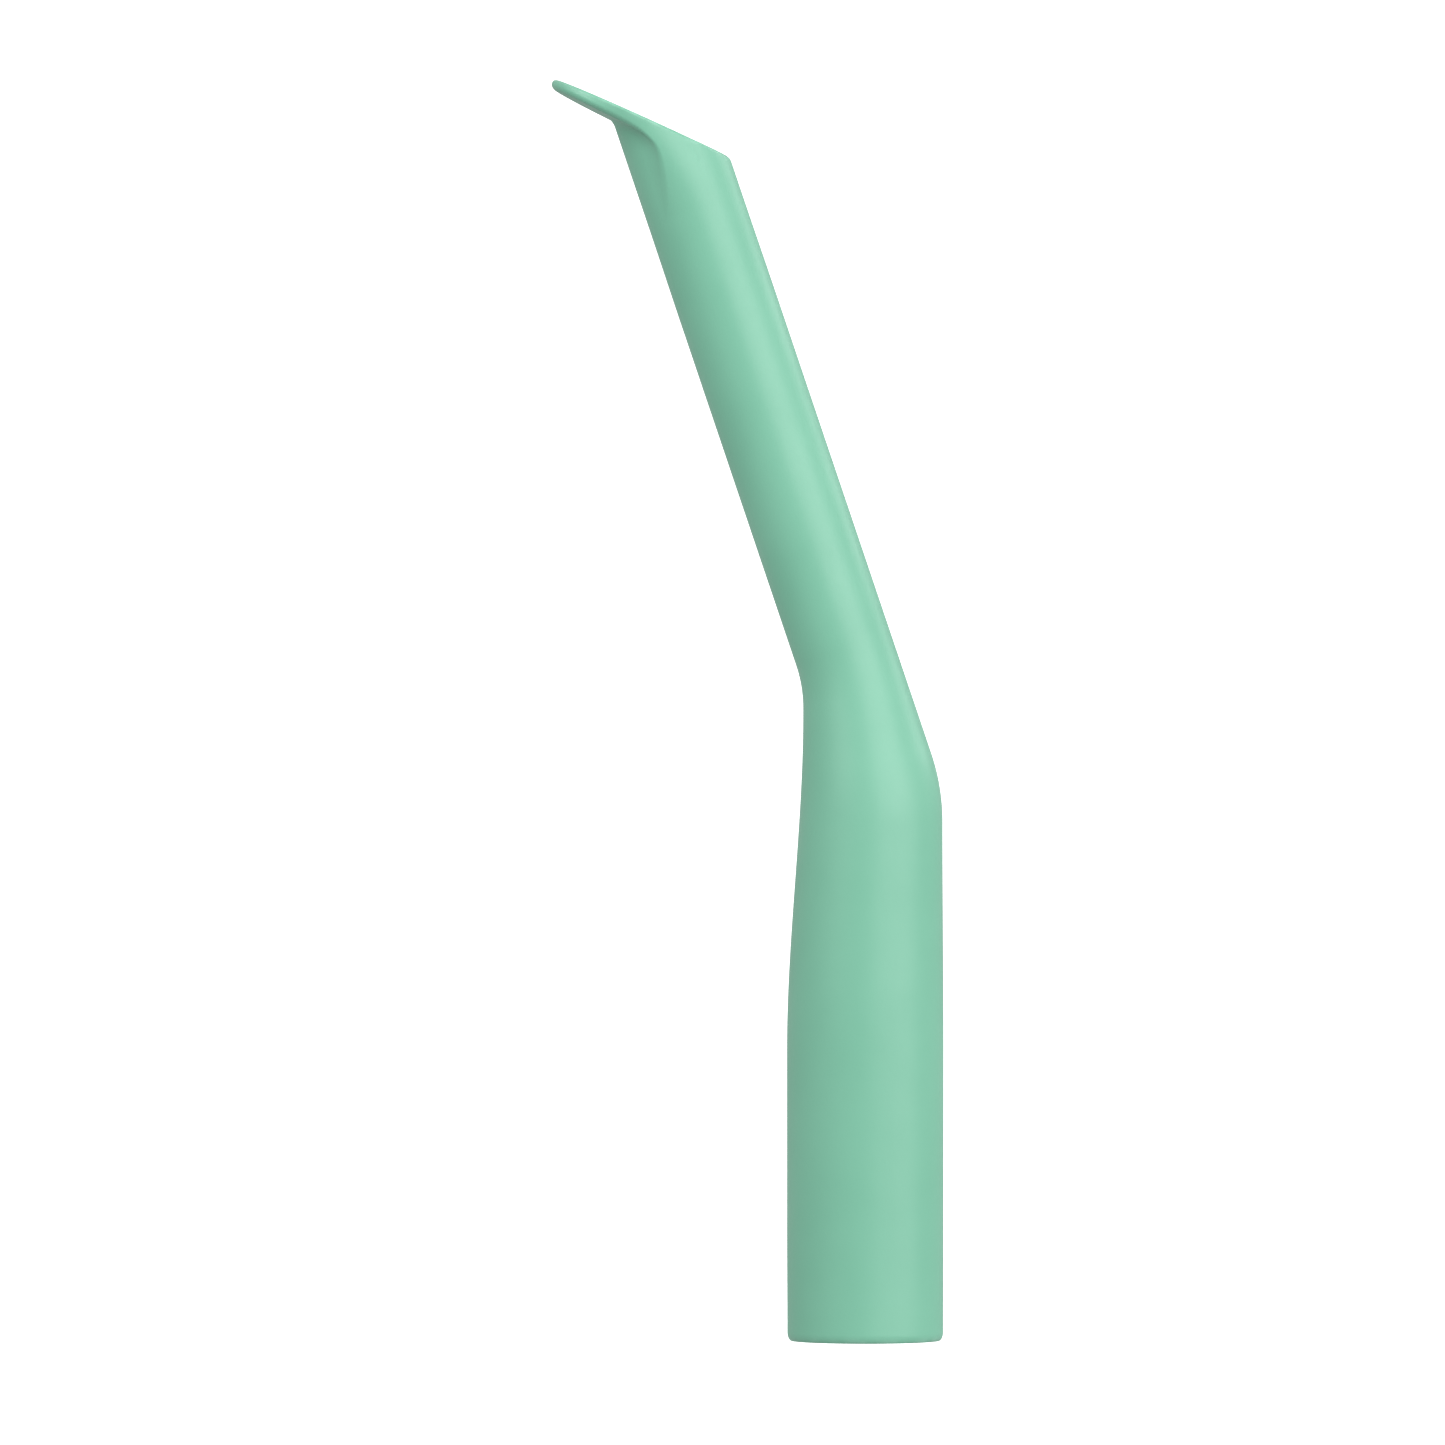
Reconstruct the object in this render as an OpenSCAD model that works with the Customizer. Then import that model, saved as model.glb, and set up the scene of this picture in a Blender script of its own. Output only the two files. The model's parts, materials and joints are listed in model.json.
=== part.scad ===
// Bent dental suction cannula for a 16 mm hose end, with a bevelled scoop mouth and a cheek lip.
// The plastic article is moulded in one shot. Its six functional zones are kept as closed solids
// that meet face to face along the air passage, from the hose end at z = 0 up to the lip.
// The bend lies in the XZ plane and leans towards -X. The part is symmetric about that plane.

/* [Hose spigot] */
// Outer diameter of the end that pushes into the suction hose
spigot_d = 16; // [14:0.5:18]
// Length of the true cylinder that the hose end grips
spigot_len = 30; // [22:1:32]
// Height and depth of the lead-in chamfer round the bottom edge
lead_in = 0.8; // [0.4:0.1:1.2]
// Break on the inner edge of the bottom face
inner_break = 0.3; // [0.1:0.1:0.5]
// Wall thickness of every zone
wall = 1.2; // [0.9:0.1:1.6]

/* [Shank and elbow] */
// Width from the spigot's right side to the left side of the shank where the bend starts
neck_d = 14.34; // [13:0.02:15]
// Height at which the shank hands over to the elbow
elbow_z = 50; // [46:1:52]
// Height at which the tube's centre line crosses the spigot's centre line
bend_z = 64.3; // [62:0.1:70]
// Angle between the tube and the spigot
bend_angle = 18.65; // [14:0.05:24]

/* [Suction tube] */
// Outer diameter of the straight tube
tube_d = 10.2; // [9:0.1:11]
// Distance along the tube from the bend point to the middle of the mouth
tube_len = 63.2; // [50:0.1:80]

/* [Scoop mouth] */
// Tilt of the mouth's face away from square to the tube
bevel_angle = 42.75; // [38:0.25:48]
// Length of the scoop zone below the middle of the mouth
scoop_len = 9.1; // [8:0.1:12]
// Length of the oval rim, from the short side of the tube to the end of the lip
rim_len = 19.8; // [18:0.1:22]
// Width of the oval rim
rim_w = 12.4; // [11.6:0.1:13]
// How much wider the rim's egg is towards the lip than towards the tube
egg = 0.15; // [0.05:0.05:0.25]
// Where the wings of the scoop end, measured from the tube's axis towards the lip
wing_edge = 1.9; // [1:0.1:2.5]
// Radius of the sweep from the wing's edge into the underside of the lip
wing_sweep = 5; // [3:0.5:6]
// Thickness of the wings
wing_t = 1.1; // [0.9:0.1:1.3]

/* [Cheek lip] */
// Thickness of the lip at its far end
lip_t = 1.05; // [0.8:0.05:1.2]
// Draft angle that thickens the lip towards its root
lip_draft = 2.5; // [0:0.5:4]
// Depth of the shallow dish in the lip's upper face
dish = 0.45; // [0.2:0.05:0.5]

/* [Hidden] */

// Colour of the moulded plastic
mint = [0.53, 0.79, 0.68];
// Facets of a true circle, which the exact solids replace
round_fn = 96;
// Points round each ring of a lofted surface
ring_points = 64;
// Rings in the shank and in the elbow
shank_rings = 11;
elbow_rings = 20;
// Overshoot of a cutting solid past the face that it cuts
over = 1;

spigot_r = spigot_d / 2;
tube_r = tube_d / 2;
// Height at which both sides start to draw in, and how far the right side does
taper_start = spigot_len;
right_draw = 0.10;
// Length of outline on each side of a kink that is rounded, on the inner and the outer side of the bend
round_left = 2.3;
round_right = 3.6;
// Straight stretch of the left outline between its kink and the end of the elbow
elbow_lead = 3;

// Positions along the tube's axis, counted from the bend point, at which the left and right kinks lie
left_kink_s = (neck_d - spigot_r - tube_r * cos(bend_angle)) / sin(bend_angle);
right_kink_s = (tube_r * cos(bend_angle) - spigot_r + right_draw) / sin(bend_angle);
// Heights at which the left and the right side have become vertical again
left_taper_end = bend_z;
right_taper_end = tube_edge(1, right_kink_s)[1] - round_right;
// Positions along the tube's axis at which the elbow and the tube end
elbow_s = left_kink_s + elbow_lead;
scoop_s = tube_len - scoop_len;

// The rim's egg: it starts on the short side of the tube, at -rim_back along the mouth's face
rim_back = tube_r / cos(bevel_angle);
rim_mid = rim_len / 2 - rim_back;
// Where the egg is widest, from -1 at the tube to 1 at the lip, and how much wider than an oval it is there
egg_place = (sqrt(1 + 8 * egg * egg) - 1) / (4 * egg);
egg_gain = (1 + egg * egg_place) * sqrt(1 - egg_place * egg_place);
// Where the mouth's face is divided between the scoop and the lip
lip_root = 6.4;
// The lofts of the scoop start a little inside the tube's own surfaces, and stay inside on its short side
loft_r = tube_r - 0.25;
loft_near = tube_r - 0.1;
cavity_r = tube_r - wall - 0.25;
cavity_near = tube_r - wall - 0.1;
// How far past the mouth's face the lofts run before they are trimmed to it
loft_past = 1.12;

// 0 to 1 with a soft start and a soft end
function ease(t) = let (c = min(1, max(0, t))) c * c * (3 - 2 * c);
function mix(a, b, t) = a + (b - a) * t;

// Left and right outlines of the side view below the bend
function left_x(z) = -spigot_r + (spigot_d - neck_d) * ease((z - taper_start) / (left_taper_end - taper_start));
function right_x(z) = spigot_r - right_draw * ease((z - taper_start) / (right_taper_end - taper_start));

// A point on the tube's edge, side -1 for left and 1 for right, at position s along the axis
function tube_edge(side, s) = [
    side * tube_r * cos(bend_angle) - s * sin(bend_angle),
    bend_z + side * tube_r * sin(bend_angle) + s * cos(bend_angle)
];

// A point on an outline at distance t from its kink: vertical below, along the tube above, rounded between
function edge_point(side, t) =
    let (kink_s = side < 0 ? left_kink_s : right_kink_s)
    let (kink = tube_edge(side, kink_s))
    let (soft = side < 0 ? round_left : round_right)
    let (u = (t + soft) / (2 * soft))
    let (above = tube_edge(side, kink_s + soft))
    t <= -soft ? [side < 0 ? left_x(kink[1] + t) : right_x(kink[1] + t), kink[1] + t] :
    t >= soft ? tube_edge(side, kink_s + t) :
    (1 - u) * (1 - u) * (kink - [0, soft]) + 2 * u * (1 - u) * kink + u * u * above;

// A circle that spans two outline points, shrunk by inset, as a ring of 3D points
function ring(left, right, inset) =
    let (mid = (left + right) / 2)
    let (reach = norm(right - left) / 2)
    let (dir = (right - left) / (2 * reach))
    [for (i = [0:ring_points - 1])
        let (a = 360 * i / ring_points)
        let (r = reach - inset)
        [mid[0] + r * cos(a) * dir[0], r * sin(a), mid[1] + r * cos(a) * dir[1]]];

function shank_ring(i, inset) =
    let (z = mix(spigot_len, elbow_z, i / shank_rings))
    ring([left_x(z), z], [right_x(z), z], inset);

function elbow_ring(i, inset) =
    let (f = i / elbow_rings)
    let (left_t = mix(elbow_z - tube_edge(-1, left_kink_s)[1], elbow_lead, f))
    let (right_t = mix(elbow_z - tube_edge(1, right_kink_s)[1], elbow_s - right_kink_s, f))
    ring(edge_point(-1, left_t), edge_point(1, right_t), inset);

// Two triangles for each cell between ring k and ring k + 1 of a list of rings that starts at point first
function band(first, k, flip) = [
    for (i = [0:ring_points - 1])
        let (j = (i + 1) % ring_points)
        let (a = first + k * ring_points)
        let (b = a + ring_points)
        each flip ?
            [[a + i, b + j, a + j], [a + i, b + i, b + j]] :
            [[a + i, a + j, b + j], [a + i, b + j, b + i]]
];

// Triangles of a flat ring-shaped end between outer ring a and inner ring b
function end_ring(a, b, flip) = [
    for (i = [0:ring_points - 1])
        let (j = (i + 1) % ring_points)
        each flip ?
            [[a + i, a + j, b + j], [a + i, b + j, b + i]] :
            [[a + i, b + j, a + j], [a + i, b + i, b + j]]
];

// A hollow closed solid from equal lists of outer and inner rings, bottom to top
module hollow_loft(outer, inner) {
    last = len(outer) - 1;
    inner_first = len(outer) * ring_points;
    points = [each each outer, each each inner];
    faces = [
        for (k = [0:last - 1]) each band(0, k, true),
        for (k = [0:last - 1]) each band(inner_first, k, false),
        each end_ring(0, inner_first, true),
        each end_ring(last * ring_points, inner_first + last * ring_points, false)
    ];
    polyhedron(points, faces, convexity = 4);
}

// A solid closed by two flat ends
module solid_loft(low, high) {
    faces = [
        each band(0, 0, true),
        [for (i = [0:ring_points - 1]) i],
        [for (i = [0:ring_points - 1]) 2 * ring_points - 1 - i]
    ];
    polyhedron([each low, each high], faces, convexity = 4);
}

// Frame of the tube: +Z along its axis from the bend point, -X towards the lip side
module tube_frame() {
    translate([0, 0, bend_z]) rotate([0, -bend_angle, 0]) children();
}

// Frame of the mouth's middle, with the tube's own directions
module mouth_frame() {
    tube_frame() translate([0, 0, tube_len]) children();
}

// Frame of the mouth's face: +Z out of the face, -X along it towards the lip
module face_frame() {
    mouth_frame() rotate([0, bevel_angle, 0]) children();
}

// A block that holds everything outside the mouth's face
module above_face() {
    face_frame() translate([-2 * rim_len, -rim_len, 0]) cube([4 * rim_len, 2 * rim_len, rim_len]);
}

// A block that holds the lip's share of the mouth
module lip_side() {
    face_frame() translate([-lip_root - rim_len, -rim_len, -rim_len]) cube([rim_len, 2 * rim_len, 2 * rim_len]);
}

// Ring of the scoop's outer or inner loft at fraction f of the way from its foot to the mouth's face
function scoop_ring(f, foot_r, near, far, half_w) = [
    for (i = [0:ring_points - 1])
        let (a = 360 * i / ring_points)
        let (mid = mix(0, (near - far) / 2, f))
        let (x = mid + mix(foot_r, (near + far) / 2, f) * cos(a))
        let (y = mix(foot_r, half_w, f) * sin(a) * (1 - egg * f * cos(a)) / mix(1, egg_gain, f))
        [x, y, mix(-scoop_len + 0.1, -x * tan(bevel_angle), f)]
];

// Loft from a circle in the tube to an egg in the mouth's face, run a little past the face.
// near and far are the egg's reach from the tube's axis to its short side and to the lip's end.
module scoop_loft(foot_r, near, far, half_w) {
    mouth_frame() solid_loft(
        scoop_ring(0, foot_r, near, far, half_w),
        scoop_ring(loft_past, foot_r, near, far, half_w));
}

// The lip's own egg, square to the mouth's face, so that it ends blunt
module lip_plate() {
    outline = [
        for (i = [0:ring_points - 1])
            let (a = 360 * i / ring_points)
            [rim_len / 2 * cos(a), rim_w / 2 * sin(a) * (1 - egg * cos(a)) / egg_gain]
    ];
    intersection() {
        face_frame() translate([-rim_mid, 0, -rim_w]) linear_extrude(2 * rim_w) polygon(outline);
        lip_side();
    }
}

// Side-view region of the wings and lip: the strip under the mouth's face and all that is nearer than edge,
// swept together by an arc. Depth is the strip's thickness under the lip's root.
module wing_region(edge, depth, draft, sweep) {
    tilt = bevel_angle + draft;
    // A point on the strip's lower line, in the mouth frame with the lip towards +X
    line_x = lip_root * cos(bevel_angle) + depth * sin(bevel_angle);
    line_z = lip_root * sin(bevel_angle) - depth * cos(bevel_angle);
    arc_x = edge + sweep;
    arc_z = line_z + ((arc_x - line_x) * sin(tilt) - sweep) / cos(tilt);
    steps = 16;
    outline = [
        [edge, -2 * scoop_len],
        for (i = [0:steps])
            let (a = mix(180, 90 + tilt, i / steps))
            [arc_x + sweep * cos(a), arc_z + sweep * sin(a)],
        [line_x + rim_len * cos(tilt), line_z + rim_len * sin(tilt)],
        [line_x, line_z + 2 * rim_len],
        [-2 * rim_len, 2 * rim_len],
        [-2 * rim_len, -2 * scoop_len]
    ];
    mouth_frame() mirror([1, 0, 0]) rotate([90, 0, 0]) translate([0, 0, -rim_len])
        linear_extrude(2 * rim_len) polygon(outline);
}

// Whole mouth of the cannula: tube end, wings and lip, hollowed and trimmed to the mouth's face
module mouth_shell() {
    reach = (rim_mid + rim_len / 2) * cos(bevel_angle);
    root_t = lip_t + (rim_mid + rim_len / 2 - lip_root) * tan(lip_draft);
    difference() {
        union() {
            mouth_frame() translate([0, 0, -scoop_len]) cylinder(r = tube_r, h = 2 * scoop_len, $fn = round_fn);
            intersection() {
                union() {
                    scoop_loft(loft_r, loft_near, reach, rim_w / 2);
                    lip_plate();
                }
                wing_region(wing_edge, root_t, lip_draft, wing_sweep);
            }
        }
        mouth_frame() translate([0, 0, -scoop_len - over])
            cylinder(r = tube_r - wall, h = 3 * scoop_len, $fn = round_fn);
        intersection() {
            scoop_loft(cavity_r, cavity_near, reach - wing_t * cos(bevel_angle), rim_w / 2 - wing_t);
            wing_region(wing_edge - wing_t, dish, 0, wing_sweep + wing_t);
        }
        above_face();
    }
}

// Straight hose end, with a lead-in chamfer outside and a broken edge inside
module hose_spigot() {
    color(mint) difference() {
        union() {
            cylinder(r1 = spigot_r - lead_in / 2, r2 = spigot_r, h = lead_in, $fn = round_fn);
            translate([0, 0, lead_in]) cylinder(r = spigot_r, h = spigot_len - lead_in, $fn = round_fn);
        }
        translate([0, 0, -over]) cylinder(r = spigot_r - wall, h = spigot_len + 2 * over, $fn = round_fn);
        translate([0, 0, -inner_break])
            cylinder(r1 = spigot_r - wall + 2 * inner_break, r2 = spigot_r - wall, h = 2 * inner_break, $fn = round_fn);
    }
}

// Shank that draws in, nearly all of it on its left side
module tapered_shank() {
    color(mint) hollow_loft(
        [for (i = [0:shank_rings]) shank_ring(i, 0)],
        [for (i = [0:shank_rings]) shank_ring(i, wall)]);
}

// Bend from the shank's circle to the tube's circle
module elbow() {
    color(mint) hollow_loft(
        [for (i = [0:elbow_rings]) elbow_ring(i, 0)],
        [for (i = [0:elbow_rings]) elbow_ring(i, wall)]);
}

// Straight slanted tube between the elbow and the scoop
module suction_tube() {
    color(mint) tube_frame() translate([0, 0, elbow_s]) difference() {
        cylinder(r = tube_r, h = scoop_s - elbow_s, $fn = round_fn);
        translate([0, 0, -over]) cylinder(r = tube_r - wall, h = scoop_s - elbow_s + 2 * over, $fn = round_fn);
    }
}

// Bevelled tube end with a wing on each side
module scoop_mouth() {
    color(mint) difference() {
        mouth_shell();
        lip_side();
    }
}

// Dished tongue that overhangs the tube and holds the cheek away
module cheek_lip() {
    color(mint) intersection() {
        mouth_shell();
        lip_side();
    }
}

hose_spigot();
tapered_shank();
elbow();
suction_tube();
scoop_mouth();
cheek_lip();
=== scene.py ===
import json
import math

import bmesh
import bpy
import numpy as np
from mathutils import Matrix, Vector


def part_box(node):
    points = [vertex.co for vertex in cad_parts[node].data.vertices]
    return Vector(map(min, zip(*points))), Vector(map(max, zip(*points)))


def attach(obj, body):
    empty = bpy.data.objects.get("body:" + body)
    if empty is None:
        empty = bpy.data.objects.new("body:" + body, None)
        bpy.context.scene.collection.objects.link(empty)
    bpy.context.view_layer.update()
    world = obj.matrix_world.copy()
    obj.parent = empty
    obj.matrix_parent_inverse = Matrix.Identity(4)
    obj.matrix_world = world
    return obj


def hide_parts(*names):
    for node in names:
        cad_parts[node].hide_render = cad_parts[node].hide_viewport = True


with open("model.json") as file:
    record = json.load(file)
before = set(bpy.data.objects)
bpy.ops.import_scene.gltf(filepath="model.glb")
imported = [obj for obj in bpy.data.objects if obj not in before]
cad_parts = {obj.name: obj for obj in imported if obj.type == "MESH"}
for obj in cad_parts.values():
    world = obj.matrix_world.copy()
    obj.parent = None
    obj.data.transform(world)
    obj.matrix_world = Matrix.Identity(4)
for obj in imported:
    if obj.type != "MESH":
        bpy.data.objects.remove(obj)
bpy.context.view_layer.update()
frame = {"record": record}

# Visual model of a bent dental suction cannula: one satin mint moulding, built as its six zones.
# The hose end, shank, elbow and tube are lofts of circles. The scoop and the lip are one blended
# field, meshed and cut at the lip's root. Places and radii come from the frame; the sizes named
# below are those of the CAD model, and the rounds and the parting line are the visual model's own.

MM = 0.001

# ---------------------------------------------------------------- sizes

MOUNTS = {m["name"]: m for m in frame["record"]["mounts"]}
SPIGOT_R = MOUNTS["hose_spigot"]["dims"]["r_mm"] * MM
WALL = SPIGOT_R - MOUNTS["spigot_bore"]["dims"]["r_mm"] * MM
BORE_R = MOUNTS["tube_bore"]["dims"]["r_mm"] * MM
TUBE_R = BORE_R + WALL
SPIGOT_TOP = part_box("hose_spigot")[1][2]
ELBOW_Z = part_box("tapered_shank")[1][2]

# The tube's axis in the XZ plane, and the height at which it crosses the spigot's axis
AXIS_X, _, AXIS_Z = MOUNTS["tube_bore"]["axis"]
BEND = math.atan2(-AXIS_X, AXIS_Z)
BORE_POS = MOUNTS["tube_bore"]["pos_m"]
BEND_Z = BORE_POS[2] + BORE_POS[0] / math.tan(BEND)


def axis_position(node):
    """Distance along the tube's axis of the square lower end of a slanted node."""
    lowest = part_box(node)[0][2]
    return (lowest - BEND_Z + TUBE_R * math.sin(BEND)) / math.cos(BEND)


TUBE_START = axis_position("suction_tube")
SCOOP_START = axis_position("scoop_mouth")

# Shank: width where the bend starts, the height at which its sides start to draw in, and how far
# the right one does
NECK_WIDTH = 14.34 * MM
TAPER_START = SPIGOT_TOP
RIGHT_DRAW = 0.10 * MM
# Length of outline rounded on each side of a kink, on the inner and the outer side of the bend
ROUND_LEFT = 2.3 * MM
ROUND_RIGHT = 3.6 * MM

# Rounded edges of the spigot's foot
FOOT_ROUND_W = 0.45 * MM
FOOT_ROUND_H = 0.9 * MM
FOOT_BREAK = 0.3 * MM

# Mouth: tilt of its face away from square to the tube, length of the scoop under its middle, and
# the egg-shaped rim
BEVEL = math.radians(42.75)
SCOOP_LEN = 9.1 * MM
RIM_LEN = 19.8 * MM
RIM_WIDTH = 12.4 * MM
# Power with which the flare grows from the scoop's foot to the rim
FLARE = 1.6
# Wings: where they end, towards the lip from the tube's axis, their sweep into the lip, and thickness
WING_EDGE = 1.9 * MM
WING_SWEEP = 5.0 * MM
WING_T = 1.1 * MM
# Lip: distances of its root and its end along the face from the tube's axis, thickness at its end,
# the draft that thickens it towards its root, and the depth of its dish
LIP_ROOT = 6.4 * MM
LIP_TIP = RIM_LEN - TUBE_R / math.cos(BEVEL)
LIP_T = 1.05 * MM
LIP_DRAFT = math.radians(2.5)
DISH = 0.45 * MM
# Rounds of the mouth's edges, of the lip's lower and upper edge, and of the crease beside the wings
EDGE_ROUND = 0.3 * MM
LIP_UNDER_ROUND = 0.6 * MM
LIP_TOP_ROUND = 0.35 * MM
CREASE_FILLET = 0.6 * MM
# The crease's tail, down the tube: radius of its fillet, which it reaches over this run from this
# height, and how far the wing's edge moves back to keep the crease in line
TAIL_FILLET = 2.0 * MM
TAIL_TOP = 1.0 * MM
TAIL_RUN = 5.0 * MM
TAIL_SHIFT = 0.55 * MM
# How much wider the rim is towards the lip than towards the tube
EGG = 0.15
# Run of the face over which the flared sides turn square to it
SQUARE_START = 3.0 * MM
SQUARE_END = 9.0 * MM
# Where two surfaces run together, the share of the gap between them that their round may take up
ROUND_SHARE = 0.6
# The least round, which leaves an edge sharp
SHARP = 1e-7
# Where the flare stops growing: past the mouth's face and the egg's ends, as a share of the whole
PAST_FACE = 1.2

# The mouth's net: cell size, cells left free beyond the tube, and its reach towards the lip and up
NET_STEP = 0.12 * MM
NET_MARGIN = 6
NET_REACH_U = 10.0 * MM
NET_REACH_W = 9.6 * MM
# Distance within which a point counts as lying on the cut at the lip's root, and on the seam
ON_CUT = 2e-6
ON_SEAM = 1e-6

# How far from the foot and the rim their edges are worn
WEAR_REACH = 0.45 * MM

# Witness of the mould's parting line, on the inner and the outer side of the bend
PARTING_H = 0.03 * MM
PARTING_W = 0.09 * MM

# Points round a ring, and the extra ones on each side of a parting line
RING_POINTS = 192
PARTING_OFFSETS = np.array([0.03, 0.06, 0.09, 0.13, 0.18]) * MM
# Rings in each lofted zone, in the foot's rounds, and over which the parting line fades in
SPIGOT_RINGS = 30
SHANK_RINGS = 41
ELBOW_RINGS = 91
TUBE_RINGS = 48
FOOT_RINGS = 10
FADE_RINGS = 10


# ---------------------------------------------------------------- outlines of the side view

def mix(a, b, t):
    """a for t = 0 and b for t = 1."""
    return a + (b - a) * t


def ease(t):
    """0 to 1 with a soft start and a soft end."""
    t = np.clip(t, 0.0, 1.0)
    return t * t * (3 - 2 * t)


def right_x(z):
    """The right outline below the bend."""
    taper_end = tube_edge(1, kink_position(1))[1] - ROUND_RIGHT
    return SPIGOT_R - RIGHT_DRAW * ease((z - TAPER_START) / (taper_end - TAPER_START))


def left_x(z):
    """The left outline below the bend."""
    return -SPIGOT_R + (2 * SPIGOT_R - NECK_WIDTH) * ease((z - TAPER_START) / (BEND_Z - TAPER_START))


def tube_edge(side, s):
    """A point [x, z] on the tube's edge, side -1 for left and 1 for right, at s along the axis."""
    return np.array([
        side * TUBE_R * math.cos(BEND) - s * math.sin(BEND),
        BEND_Z + side * TUBE_R * math.sin(BEND) + s * math.cos(BEND)])


def kink_position(side):
    """Position along the tube's axis at which an outline turns from vertical to slanted."""
    target = SPIGOT_R - RIGHT_DRAW if side > 0 else SPIGOT_R - NECK_WIDTH
    return (side * TUBE_R * math.cos(BEND) - target) / math.sin(BEND)


def edge_point(side, t):
    """A point on an outline at distance t from its kink, which is rounded."""
    kink_s = kink_position(side)
    kink = tube_edge(side, kink_s)
    soft = ROUND_LEFT if side < 0 else ROUND_RIGHT
    if t <= -soft:
        z = kink[1] + t
        return np.array([left_x(z) if side < 0 else right_x(z), z])
    if t >= soft:
        return tube_edge(side, kink_s + t)
    u = (t + soft) / (2 * soft)
    below = kink - [0, soft]
    above = tube_edge(side, kink_s + soft)
    return (1 - u) ** 2 * below + 2 * u * (1 - u) * kink + u ** 2 * above


# ---------------------------------------------------------------- lofted zones

def ring_angles():
    """Angles round a ring, closer together at the two parting lines."""
    even = np.arange(0, RING_POINTS) * (2 * math.pi / RING_POINTS)
    offsets = PARTING_OFFSETS / TUBE_R
    near = [base + sign * offset for base in (0, math.pi) for sign in (-1, 1) for offset in offsets]
    angles = np.concatenate([even, np.array(near) % (2 * math.pi)])
    return np.unique(np.round(angles, 6))


ANGLES = ring_angles()


def ridge(radius, strength):
    """Height of the parting line round a ring of that radius."""
    off = np.abs((ANGLES + math.pi / 2) % math.pi - math.pi / 2)
    return strength * PARTING_H * np.exp(-(off * radius / PARTING_W) ** 2)


def ring(left, right, inset, strength=0.0):
    """A circle that spans two outline points, shrunk by inset."""
    mid = (left + right) / 2
    reach = np.linalg.norm(right - left) / 2
    direction = (right - left) / (2 * reach)
    radius = reach - inset + ridge(reach, strength)
    across = radius * np.cos(ANGLES)
    return np.stack([
        mid[0] + across * direction[0],
        radius * np.sin(ANGLES),
        mid[1] + across * direction[1]], axis=1)


def body_rows():
    """Pairs of outline points from the foot to the scoop, and the rows at which each zone ends."""
    rows = []
    for z in np.linspace(FOOT_ROUND_H, SPIGOT_TOP, SPIGOT_RINGS):
        rows.append((np.array([-SPIGOT_R, z]), np.array([SPIGOT_R, z])))
    ends = [len(rows) - 1]
    for z in np.linspace(SPIGOT_TOP, ELBOW_Z, SHANK_RINGS)[1:]:
        rows.append((np.array([left_x(z), z]), np.array([right_x(z), z])))
    ends.append(len(rows) - 1)
    left_kink, right_kink = kink_position(-1), kink_position(1)
    left_low = ELBOW_Z - tube_edge(-1, left_kink)[1]
    right_low = ELBOW_Z - tube_edge(1, right_kink)[1]
    for f in np.linspace(0, 1, ELBOW_RINGS)[1:]:
        left = edge_point(-1, mix(left_low, TUBE_START - left_kink, f))
        right = edge_point(1, mix(right_low, TUBE_START - right_kink, f))
        rows.append((left, right))
    ends.append(len(rows) - 1)
    for s in np.linspace(TUBE_START, SCOOP_START, TUBE_RINGS)[1:]:
        rows.append((tube_edge(-1, s), tube_edge(1, s)))
    ends.append(len(rows) - 1)
    return rows, ends


def foot_rings(outer):
    """Rounded edge under the first row: a quarter ellipse outside or a small quarter circle inside."""
    rings = []
    for a in np.linspace(0, math.pi / 2, FOOT_RINGS + 1)[:-1]:
        if outer:
            radius = SPIGOT_R - FOOT_ROUND_W + FOOT_ROUND_W * math.sin(a)
            z = FOOT_ROUND_H * (1 - math.cos(a))
        else:
            radius = SPIGOT_R - WALL + FOOT_BREAK * (1 - math.sin(a))
            z = FOOT_BREAK * (1 - math.cos(a))
        edge = np.array([radius, z])
        rings.append(ring(edge * [-1, 1], edge, 0.0))
    return rings


def surface_normals(grid):
    """Unit normals of a grid of rings, pointing away from their middle."""
    along = np.gradient(grid, axis=0)
    around = np.roll(grid, -1, axis=1) - np.roll(grid, 1, axis=1)
    normals = np.cross(around, along)
    return normals / np.linalg.norm(normals, axis=2, keepdims=True)


def body_surfaces():
    """Outer and inner grids of points and normals from the foot to the scoop, with each zone's end row."""
    rows, ends = body_rows()
    outer = foot_rings(True)
    inner = foot_rings(False)
    extra = len(outer)
    for k, (left, right) in enumerate(rows):
        strength = ease(k / FADE_RINGS) * ease((len(rows) - 1 - k) / FADE_RINGS)
        outer.append(ring(left, right, 0.0, strength))
        inner.append(ring(left, right, WALL))
    outer, inner = np.array(outer), np.array(inner)
    return outer, surface_normals(outer), inner, surface_normals(inner), [e + extra for e in ends]


def mesh_object(name, verts, faces, loop_normals, wear):
    """A mesh with its own normals and, at each vertex, how much handling has worn it."""
    mesh = bpy.data.meshes.new(name)
    mesh.from_pydata(verts, [], faces)
    mesh.attributes.new("wear", "FLOAT", "POINT").data.foreach_set("value", wear)
    mesh.update()
    mesh.polygons.foreach_set("use_smooth", np.ones(len(mesh.polygons), dtype=bool))
    mesh.normals_split_custom_set(loop_normals)
    obj = bpy.data.objects.new(name, mesh)
    bpy.context.collection.objects.link(obj)
    return obj


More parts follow.
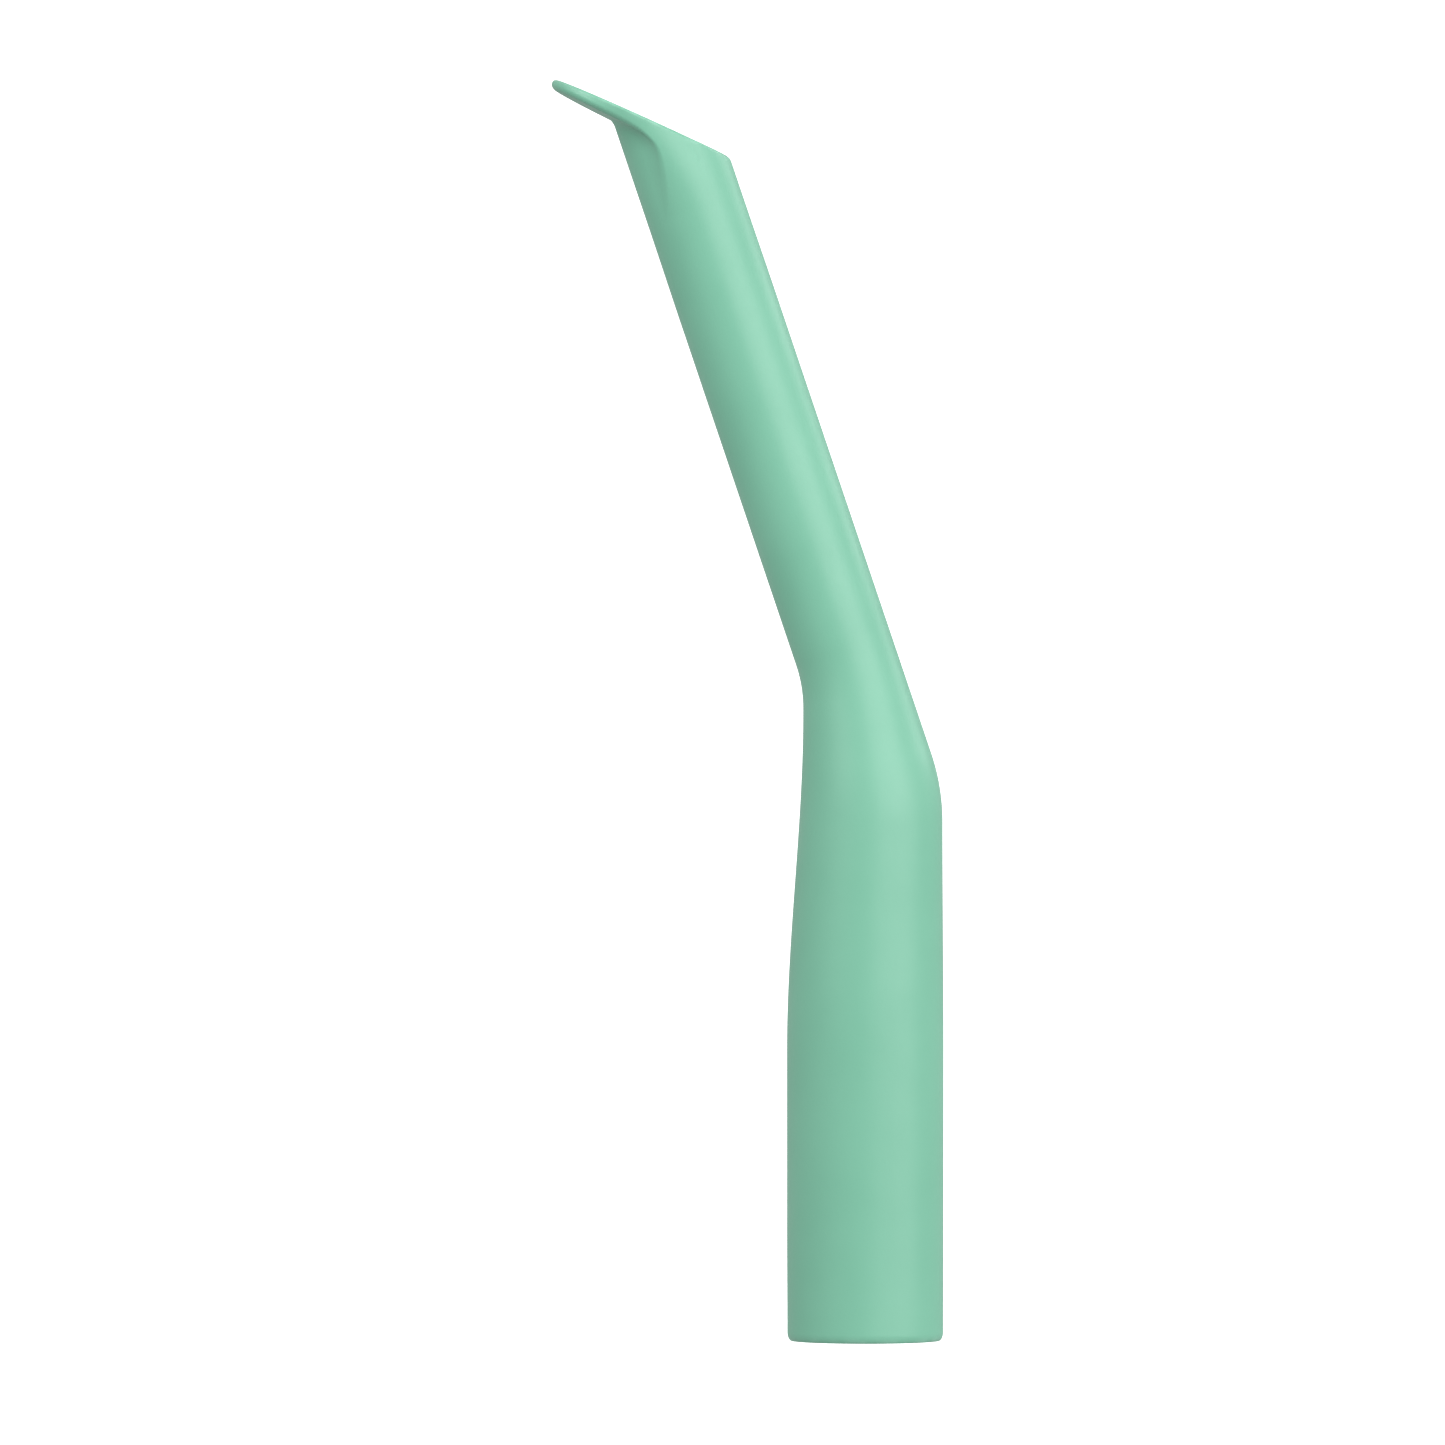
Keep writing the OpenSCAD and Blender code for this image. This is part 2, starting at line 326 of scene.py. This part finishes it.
def loft_piece(name, outer, outer_n, inner, inner_n):
    """A closed hollow piece from matching grids of outer and inner rings."""
    rows, count = outer.shape[:2]
    verts = np.concatenate([outer.reshape(-1, 3), inner.reshape(-1, 3)])
    normals = np.concatenate([outer_n.reshape(-1, 3), -inner_n.reshape(-1, 3)])
    i = np.arange(count)
    j = (i + 1) % count
    inner_first = rows * count
    faces, loops = [], []

    def add(quads, flat=None):
        faces.append(quads)
        if flat is None:
            loops.append(normals[quads].reshape(-1, 3))
        else:
            loops.append(np.repeat(flat[None], quads.size, axis=0))

    for k in range(rows - 1):
        a, b = k * count, (k + 1) * count
        add(np.stack([a + i, a + j, b + j, b + i], axis=1))
        a, b = a + inner_first, b + inner_first
        add(np.stack([a + i, b + i, b + j, a + j], axis=1))
    add(np.stack([i, inner_first + i, inner_first + j, j], axis=1), cap_normal(outer[0], -1))
    high = (rows - 1) * count
    inner_high = inner_first + high
    add(np.stack([high + i, high + j, inner_high + j, inner_high + i], axis=1), cap_normal(outer[-1], 1))
    wear = np.exp(-(verts[:, 2] / WEAR_REACH) ** 2)
    return mesh_object(
        name, verts.tolist(), np.concatenate(faces).tolist(), np.concatenate(loops).tolist(), wear)


def cap_normal(ring_points, sign):
    """Normal of a ring's plane, upwards for sign 1."""
    quarter = len(ring_points) // 4
    across = ring_points[0] - ring_points[2 * quarter]
    along = ring_points[quarter] - ring_points[3 * quarter]
    normal = np.cross(across, along)
    normal /= np.linalg.norm(normal)
    return normal * sign * (1 if normal[2] > 0 else -1)


def build_body():
    """The four lofted zones, each from its slice of the shared surfaces."""
    outer, outer_n, inner, inner_n, ends = body_surfaces()
    pieces = []
    start = 0
    for name, end in zip(("hose_spigot", "tapered_shank", "elbow", "suction_tube"), ends):
        rows = slice(start, end + 1)
        piece = loft_piece(name + "_moulding", outer[rows], outer_n[rows], inner[rows], inner_n[rows])
        pieces.append((piece, name))
        start = end
    return pieces


# ---------------------------------------------------------------- scoop and lip field

def join_round(a, b, r):
    """Union of two fields with a fillet of radius r in the corner."""
    return np.maximum(r, np.minimum(a, b)) - np.hypot(np.maximum(r - a, 0), np.maximum(r - b, 0))


def meet_round(a, b, r):
    """Intersection of two fields with its edge rounded to radius r."""
    return np.minimum(-r, np.maximum(a, b)) + np.hypot(np.maximum(r + a, 0), np.maximum(r + b, 0))


def egg_width(t, half_width, egg):
    """Half width of an egg at t from -1, its narrow end, to 1, so that its widest place is half_width."""
    widest = (math.sqrt(1 + 8 * EGG ** 2) - 1) / (4 * EGG)
    largest = (1 + EGG * widest) * math.sqrt(1 - widest ** 2)
    return half_width * (1 + egg * t) / mix(1, largest, egg / EGG)


def flared_loft(u, y, w, foot_r, near, far, half_width):
    """Field of a flared tube: a circle at the scoop's foot that grows to the egg in the mouth's face."""
    rise = np.clip((w + SCOOP_LEN) / (u * math.tan(BEVEL) + SCOOP_LEN), 0, PAST_FACE)
    grow = rise ** FLARE
    mid = grow * (far - near) / 2
    a = mix(foot_r, (near + far) / 2, grow)
    t = np.clip((u - mid) / a, -PAST_FACE, PAST_FACE)
    b = egg_width(t, mix(foot_r, half_width, grow), EGG * np.clip(grow, 0, 1))
    return (np.hypot((u - mid) / a, y / b) - 1) * np.minimum(a, b)


def rim_egg(along_face, y):
    """Field of the rim's egg, carried square to the mouth's face."""
    half_length = RIM_LEN / 2
    middle = half_length - TUBE_R / math.cos(BEVEL)
    t = np.clip((along_face - middle) / half_length, -PAST_FACE, PAST_FACE)
    half_width = egg_width(t, RIM_WIDTH / 2, EGG)
    return (np.hypot((along_face - middle) / half_length, y / half_width) - 1) * half_width


def wing_region(u, w, edge, depth, draft, sweep):
    """Field, in the side view, of the strip under the mouth's face and all that is nearer than edge."""
    tilt = BEVEL + draft
    line_u = LIP_ROOT * math.cos(BEVEL) + depth * math.sin(BEVEL)
    line_w = LIP_ROOT * math.sin(BEVEL) - depth * math.cos(BEVEL)
    strip = (u - line_u) * math.sin(tilt) - (w - line_w) * math.cos(tilt)
    arc_u = edge + sweep
    arc_w = line_w + ((arc_u - line_u) * math.sin(tilt) - sweep) / math.cos(tilt)
    turn = np.arctan2(w - arc_w, u - arc_u)
    on_arc = turn >= math.pi / 2 + tilt
    return np.where(on_arc, sweep - np.hypot(u - arc_u, w - arc_w), np.minimum(strip, u - edge))


def mouth_field(points):
    """Below zero inside the plastic. Points are (u, y, w): towards the lip, across, and along the tube."""
    u, y, w = points[..., 0], points[..., 1], points[..., 2]
    far = LIP_TIP * math.cos(BEVEL)
    root_t = LIP_T + (LIP_TIP - LIP_ROOT) * math.tan(LIP_DRAFT)
    radius = np.hypot(u, y)
    above_face = w * math.cos(BEVEL) - u * math.sin(BEVEL)
    along_face = u * math.cos(BEVEL) + w * math.sin(BEVEL)

    tube = radius - TUBE_R
    flare = flared_loft(u, y, w, TUBE_R, TUBE_R, far, RIM_WIDTH / 2)
    square = ease((along_face - SQUARE_START) / (SQUARE_END - SQUARE_START))
    flare = mix(flare, rim_egg(along_face, y), square)
    flare = np.minimum(flare, tube)
    down = ease((TAIL_TOP - w) / TAIL_RUN)
    wing = wing_region(u, w, WING_EDGE - TAIL_SHIFT * down, root_t, LIP_DRAFT, WING_SWEEP)
    body = join_round(wing, tube, mix(CREASE_FILLET, TAIL_FILLET, down))
    widest = mix(EDGE_ROUND, LIP_UNDER_ROUND, ease(along_face / LIP_ROOT))
    soft = np.clip(ROUND_SHARE * (tube - flare), SHARP, widest)
    outside = meet_round(flare, body, soft)

    bore = radius - BORE_R
    funnel = flared_loft(u, y, w, BORE_R, BORE_R, far - WING_T * math.cos(BEVEL), RIM_WIDTH / 2 - WING_T)
    funnel = np.minimum(funnel, bore)
    dished = wing_region(u, w, WING_EDGE - WING_T, DISH, 0.0, WING_SWEEP + WING_T)
    soft = np.clip(ROUND_SHARE * (bore - funnel), SHARP, EDGE_ROUND)
    hollow = meet_round(funnel, join_round(dished, bore, CREASE_FILLET), soft)

    nose = mix(EDGE_ROUND, LIP_TOP_ROUND, ease((along_face - LIP_ROOT) / (LIP_TIP - LIP_ROOT)))
    trimmed = meet_round(outside, above_face, nose)
    return meet_round(trimmed, -hollow, EDGE_ROUND)


def field_gradient(points):
    """The field's slope at each point, by central differences."""
    step = 1e-6
    parts = []
    for axis in range(3):
        shift = np.zeros(3)
        shift[axis] = step
        parts.append((mouth_field(points + shift) - mouth_field(points - shift)) / (2 * step))
    return np.stack(parts, axis=-1)


def settle(points, limit, rounds=4):
    """Moves points onto the field's zero surface, each round by no more than limit."""
    for _ in range(rounds):
        gradient = field_gradient(points)
        steepness = np.maximum((gradient ** 2).sum(axis=1), 1e-6)
        move = mouth_field(points)[:, None] * gradient / steepness[:, None]
        length = np.linalg.norm(move, axis=1, keepdims=True)
        points = points - move * np.minimum(1, limit / np.maximum(length, 1e-12))
    return points


def surface_net():
    """Points in the grid cells that the field's zero surface crosses, and quads that join them."""
    # Half a cell more on each side keeps the net's two halves alike
    side = (math.ceil(RIM_WIDTH / 2 / NET_STEP) + 3 + 0.5) * NET_STEP
    low = np.array([-TUBE_R - NET_MARGIN * NET_STEP, -side, -SCOOP_LEN])
    high = np.array([NET_REACH_U, side, NET_REACH_W])
    # The small step back stops a rounding error from adding a row of cells
    counts = np.ceil((high - low) / NET_STEP - 0.01).astype(int) + 1
    axes = [low[a] + NET_STEP * np.arange(counts[a]) for a in range(3)]
    nodes = np.stack(np.meshgrid(*axes, indexing="ij"), axis=-1)
    values = mouth_field(nodes)
    inside = values < 0

    corner_sum = np.zeros(tuple(counts - 1), dtype=int)
    for dx in (0, 1):
        for dy in (0, 1):
            for dz in (0, 1):
                corner_sum += inside[dx:counts[0] - 1 + dx, dy:counts[1] - 1 + dy, dz:counts[2] - 1 + dz]
    active = (corner_sum > 0) & (corner_sum < 8)
    index = -np.ones(active.shape, dtype=int)
    index[active] = np.arange(active.sum())
    cells = np.argwhere(active)
    points = low + NET_STEP * (cells + 0.5)

    quads = []
    for axis in range(3):
        b, c = (axis + 1) % 3, (axis + 2) % 3
        first = np.moveaxis(inside, (axis, b, c), (0, 1, 2))
        grid = np.moveaxis(index, (axis, b, c), (0, 1, 2))
        crossing = first[:-1] != first[1:]
        k, m, n = np.nonzero(crossing[:, 1:-1, 1:-1])
        m, n = m + 1, n + 1
        corners = (grid[k, m - 1, n - 1], grid[k, m, n - 1], grid[k, m, n], grid[k, m - 1, n])
        quad = np.stack(corners, axis=1)
        leaving = first[k, m, n]
        quad[~leaving] = quad[~leaving][:, ::-1]
        quads.append(quad)
    return points, np.concatenate(quads)


def relax(points, quads, fixed, rounds=6):
    """Evens out the net along the surface, then settles it again."""
    edges = np.concatenate([quads[:, [0, 1]], quads[:, [1, 2]], quads[:, [2, 3]], quads[:, [3, 0]]])
    edges = np.concatenate([edges, edges[:, ::-1]])
    count = np.bincount(edges[:, 0], minlength=len(points))[:, None]
    for _ in range(rounds):
        total = np.zeros_like(points)
        np.add.at(total, edges[:, 0], points[edges[:, 1]])
        target = total / np.maximum(count, 1)
        moved = settle(mix(points, target, 0.5), NET_STEP, rounds=1)
        moved[fixed] = points[fixed]
        points = moved
    return settle(points, NET_STEP, rounds=2)


def mouth_to_frame(points):
    """From (u, y, w) to the row frame."""
    u, y, w = points[..., 0], points[..., 1], points[..., 2]
    s = SCOOP_START + SCOOP_LEN + w
    x = -u * math.cos(BEND) - s * math.sin(BEND)
    z = BEND_Z - u * math.sin(BEND) + s * math.cos(BEND)
    return np.stack([x, y, z], axis=-1)


def turn_to_frame(vectors):
    """Directions from (u, y, w) to the row frame."""
    origin = mouth_to_frame(np.zeros(3))
    return mouth_to_frame(vectors) - origin


def close_foot(bm):
    """Carries the net's two open loops down to the seam's plane and closes the ring between them."""
    seam_w = -SCOOP_LEN
    loops = [e for e in bm.edges if e.is_boundary]
    made = bmesh.ops.extrude_edge_only(bm, edges=loops)["geom"]
    foot = [v for v in made if isinstance(v, bmesh.types.BMVert)]
    for v in foot:
        radius = math.hypot(v.co.x, v.co.y)
        target = TUBE_R if radius > (TUBE_R + BORE_R) / 2 else BORE_R
        v.co = Vector((v.co.x * target / radius, v.co.y * target / radius, seam_w))
    rims = [e for e in bm.edges if e.is_boundary]
    bmesh.ops.bridge_loops(bm, edges=rims)


def split_lip(bm, keep_lip):
    """Cuts the mouth at the lip's root, square to its face, keeps one side and closes the cut."""
    along = Vector((math.cos(BEVEL), 0, math.sin(BEVEL)))
    geom = bm.verts[:] + bm.edges[:] + bm.faces[:]
    bmesh.ops.bisect_plane(
        bm, geom=geom, dist=1e-7, plane_co=along * LIP_ROOT, plane_no=along,
        clear_outer=not keep_lip, clear_inner=keep_lip)
    rim = [e for e in bm.edges if e.is_boundary]
    bmesh.ops.holes_fill(bm, edges=rim, sides=0)


def mouth_piece(name, net, keep_lip):
    """The scoop or the lip as a closed mesh with the field's own normals."""
    bm = net.copy()
    split_lip(bm, keep_lip)
    big = [f for f in bm.faces if len(f.verts) > 4]
    bmesh.ops.triangulate(bm, faces=big)
    bmesh.ops.recalc_face_normals(bm, faces=bm.faces[:])
    bm.verts.index_update()
    local = np.array([v.co[:] for v in bm.verts])
    smooth = field_gradient(local)
    smooth = turn_to_frame(smooth / np.linalg.norm(smooth, axis=1, keepdims=True))
    along = Vector((math.cos(BEVEL), 0, math.sin(BEVEL)))
    faces, loops = [], []
    for f in bm.faces:
        indices = [v.index for v in reversed(f.verts)]
        faces.append(indices)
        on_cut = all(abs(v.co.dot(along) - LIP_ROOT) < ON_CUT for v in f.verts)
        on_seam = all(v.co.z < -SCOOP_LEN + ON_SEAM for v in f.verts)
        if on_cut or on_seam:
            flat = turn_to_frame(np.array(f.normal[:]))
            loops.extend([flat.tolist()] * len(indices))
        else:
            loops.extend(smooth[indices].tolist())
    below_face = local[:, 0] * math.sin(BEVEL) - local[:, 2] * math.cos(BEVEL)
    wear = np.exp(-(below_face / WEAR_REACH) ** 2)
    obj = mesh_object(name, mouth_to_frame(local).tolist(), faces, loops, wear)
    bm.free()
    return obj


def build_mouth():
    """The scoop and the lip, from one net."""
    points, quads = surface_net()
    points = settle(points, NET_STEP)
    bm = bmesh.new()
    # The lowest points stay half a cell above the seam, and the foot is closed from there
    lowest = points[:, 2] < -SCOOP_LEN + 0.9 * NET_STEP
    points[lowest, 2] = -SCOOP_LEN + 0.5 * NET_STEP
    points = relax(points, quads, lowest)
    verts = [bm.verts.new(p) for p in points]
    for q in quads:
        bm.faces.new([verts[i] for i in q])
    close_foot(bm)
    pieces = [
        (mouth_piece("scoop_mouth_moulding", bm, False), "scoop_mouth"),
        (mouth_piece("cheek_lip_moulding", bm, True), "cheek_lip")]
    bm.free()
    return pieces


# ---------------------------------------------------------------- material

# The plastic's colours in its deeper and paler clouds, and where it is worn
PLASTIC_DEEP = (0.154, 0.410, 0.285, 1)
PLASTIC_PALE = (0.168, 0.432, 0.303, 1)
PLASTIC_WORN = (0.230, 0.495, 0.370, 1)
IOR = 1.49
ROUGHNESS = 0.42
ROUGHNESS_SPREAD = 0.03
# Features per metre of the clouds, the scuffs, the grain, the patches of gloss and the mould's waves
CLOUD_SCALE = 90
SCUFF_SCALE = 700
GRAIN_SCALE = 2600
PATCH_SCALE = 160
WAVE_SCALE = 140
# The range that a noise mostly covers, the narrower one that scuffs are cut from, and their strength
NOISE_RANGE = (0.3, 0.7)
SCUFF_RANGE = (0.4, 0.6)
SCUFF_STRENGTH = (0.15, 0.8)
# Heights of the waves and of the grain, and how strongly each bends the light
WAVE_H = 0.1 * MM
WAVE_STRENGTH = 0.12
GRAIN_H = 0.02 * MM
GRAIN_STRENGTH = 0.25


def add_node(tree, kind, **values):
    """A new node with some of its properties set."""
    node = tree.nodes.new(kind)
    for key, value in values.items():
        setattr(node, key, value)
    return node


def noise(tree, position, scale, detail):
    """A noise texture, whose scale is in features per metre."""
    node = add_node(tree, "ShaderNodeTexNoise")
    node.inputs["Scale"].default_value = scale
    node.inputs["Detail"].default_value = detail
    tree.links.new(position, node.inputs["Vector"])
    return node.outputs["Fac"]


def ranged(tree, value, low, high, to_low, to_high):
    """The value with the range low to high carried to the range to_low to to_high."""
    node = add_node(tree, "ShaderNodeMapRange")
    node.inputs["From Min"].default_value = low
    node.inputs["From Max"].default_value = high
    node.inputs["To Min"].default_value = to_low
    node.inputs["To Max"].default_value = to_high
    tree.links.new(value, node.inputs["Value"])
    return node.outputs["Result"]


def blend_colour(tree, factor, a, b):
    """Colour a where the factor is 0 and b where it is 1: each is a constant or a node's output."""
    node = add_node(tree, "ShaderNodeMix", data_type="RGBA")
    tree.links.new(factor, node.inputs["Factor"])
    for socket, value in ((node.inputs[6], a), (node.inputs[7], b)):
        if isinstance(value, tuple):
            socket.default_value = value
        else:
            tree.links.new(value, socket)
    return node.outputs[2]


def bumped(tree, height, strength, distance, normal=None):
    """A bent normal, from a height texture and, if given, an already bent normal."""
    node = add_node(tree, "ShaderNodeBump")
    node.inputs["Strength"].default_value = strength
    node.inputs["Distance"].default_value = distance
    tree.links.new(height, node.inputs["Height"])
    if normal is not None:
        tree.links.new(normal, node.inputs["Normal"])
    return node.outputs["Normal"]


def combined(tree, operation, a, b):
    """The sum or the product of two values."""
    node = add_node(tree, "ShaderNodeMath", operation=operation)
    tree.links.new(a, node.inputs[0])
    tree.links.new(b, node.inputs[1])
    return node.outputs[0]


def satin_plastic(name):
    """Satin mint polypropylene: cloudy colour, fine spark-eroded grain, paler worn edges."""
    material = bpy.data.materials.new(name)
    material.use_nodes = True
    tree = material.node_tree
    shader = tree.nodes["Principled BSDF"]
    shader.inputs["IOR"].default_value = IOR
    position = add_node(tree, "ShaderNodeTexCoord").outputs["Object"]

    cloud = ranged(tree, noise(tree, position, CLOUD_SCALE, 3), *NOISE_RANGE, 0, 1)
    base = blend_colour(tree, cloud, PLASTIC_DEEP, PLASTIC_PALE)
    edge = add_node(tree, "ShaderNodeAttribute", attribute_name="wear").outputs["Fac"]
    scuffs = ranged(tree, noise(tree, position, SCUFF_SCALE, 2), *SCUFF_RANGE, *SCUFF_STRENGTH)
    worn = combined(tree, "MULTIPLY", edge, scuffs)
    tree.links.new(blend_colour(tree, worn, base, PLASTIC_WORN), shader.inputs["Base Color"])

    grain = noise(tree, position, GRAIN_SCALE, 2)
    fine = ranged(tree, grain, *NOISE_RANGE, -ROUGHNESS_SPREAD, ROUGHNESS_SPREAD)
    patch = noise(tree, position, PATCH_SCALE, 2)
    low, high = ROUGHNESS - ROUGHNESS_SPREAD, ROUGHNESS + ROUGHNESS_SPREAD
    broad = ranged(tree, patch, *NOISE_RANGE, low, high)
    tree.links.new(combined(tree, "ADD", fine, broad), shader.inputs["Roughness"])

    waves = bumped(tree, noise(tree, position, WAVE_SCALE, 1), WAVE_STRENGTH, WAVE_H)
    normal = bumped(tree, grain, GRAIN_STRENGTH, GRAIN_H, waves)
    tree.links.new(normal, shader.inputs["Normal"])
    return material


# ---------------------------------------------------------------- studio

# Strength of the even light from all round, and of the floor's and the backdrop's own glow
WORLD_STRENGTH = 0.55
FLOOR_GLOW = 1.0
BACKDROP_GLOW = 1.0
# Half the floor's side, the backdrop's radius and the softboxes' distance, in metres
FLOOR_REACH = 4.0
BACKDROP_R = 3.5
LIGHT_DISTANCE = 1.0
# Softboxes: degrees to the camera's right, degrees above level, width and height in metres, watts
SOFTBOXES = (
    ("key", 35, 22, 0.90, 0.80, 7.8),
    ("side", 65, 5, 0.50, 0.70, 2.2),
    ("fill", -50, 35, 0.60, 0.60, 5.0),
    ("rim", 120, 30, 0.50, 0.60, 2.2),
)
# Camera: the point it looks at, its distance, and the width of the view at that point
VIEW_CENTRE = (-14.64 * MM, 0.0, 63.4 * MM)
VIEW_DISTANCE = 1.4
VIEW_WIDTH = 148.2 * MM


def studio_surface(name, bm, glow):
    """A white matt surface that shows in the picture but sends no light to the object."""
    mesh = bpy.data.meshes.new(name)
    bm.to_mesh(mesh)
    bm.free()
    obj = bpy.data.objects.new(name, mesh)
    bpy.context.collection.objects.link(obj)
    obj.visible_diffuse = False
    obj.visible_glossy = False
    material = bpy.data.materials.new(name)
    material.use_nodes = True
    shader = material.node_tree.nodes["Principled BSDF"]
    shader.inputs["Base Color"].default_value = (0.9, 0.9, 0.9, 1)
    shader.inputs["Roughness"].default_value = 0.9
    shader.inputs["Specular IOR Level"].default_value = 0.1
    shader.inputs["Emission Color"].default_value = (1, 1, 1, 1)
    shader.inputs["Emission Strength"].default_value = glow
    mesh.materials.append(material)
    return obj


def floor():
    """A wide white floor under the object's foot."""
    bm = bmesh.new()
    bmesh.ops.create_grid(bm, x_segments=1, y_segments=1, size=FLOOR_REACH)
    studio_surface("studio_floor", bm, FLOOR_GLOW)


def backdrop():
    """A white dome round the studio, which lets the world's light through."""
    bm = bmesh.new()
    bmesh.ops.create_uvsphere(bm, u_segments=64, v_segments=32, radius=BACKDROP_R)
    dome = studio_surface("studio_backdrop", bm, BACKDROP_GLOW)
    dome.visible_shadow = False


def softbox(name, target, turn, lift, width, height, watts):
    """A rectangular area light that faces the target."""
    level = math.cos(lift)
    direction = Vector((math.sin(turn) * level, -math.cos(turn) * level, math.sin(lift)))
    data = bpy.data.lights.new(name, "AREA")
    data.shape = "RECTANGLE"
    data.size = width
    data.size_y = height
    data.energy = watts
    obj = bpy.data.objects.new(name, data)
    obj.location = Vector(target) + LIGHT_DISTANCE * direction
    obj.rotation_euler = (-direction).to_track_quat("-Z", "Y").to_euler()
    bpy.context.collection.objects.link(obj)


def studio(centre):
    """Even light from all round, and the softboxes."""
    world = bpy.data.worlds.new("studio")
    world.use_nodes = True
    background = world.node_tree.nodes["Background"]
    background.inputs["Color"].default_value = (1, 1, 1, 1)
    background.inputs["Strength"].default_value = WORLD_STRENGTH
    bpy.context.scene.world = world
    for name, turn, lift, width, height, watts in SOFTBOXES:
        softbox(name, centre, math.radians(turn), math.radians(lift), width, height, watts)


def camera(centre):
    """Level view along +Y that frames the object as the reference does."""
    data = bpy.data.cameras.new("camera")
    data.sensor_width = 36
    data.lens = data.sensor_width * VIEW_DISTANCE / VIEW_WIDTH
    data.clip_start = 0.01
    data.clip_end = 20
    obj = bpy.data.objects.new("camera", data)
    obj.location = (centre[0], -VIEW_DISTANCE, centre[2])
    obj.rotation_euler = (math.pi / 2, 0, 0)
    bpy.context.collection.objects.link(obj)
    bpy.context.scene.camera = obj


# ---------------------------------------------------------------- scene

bpy.context.scene.view_settings.view_transform = "Standard"
camera(VIEW_CENTRE)
floor()
backdrop()
studio(VIEW_CENTRE)

plastic = satin_plastic("satin_mint_plastic")
for piece, node in build_body() + build_mouth():
    piece.data.materials.append(plastic)
    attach(piece, "root")
    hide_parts(node)
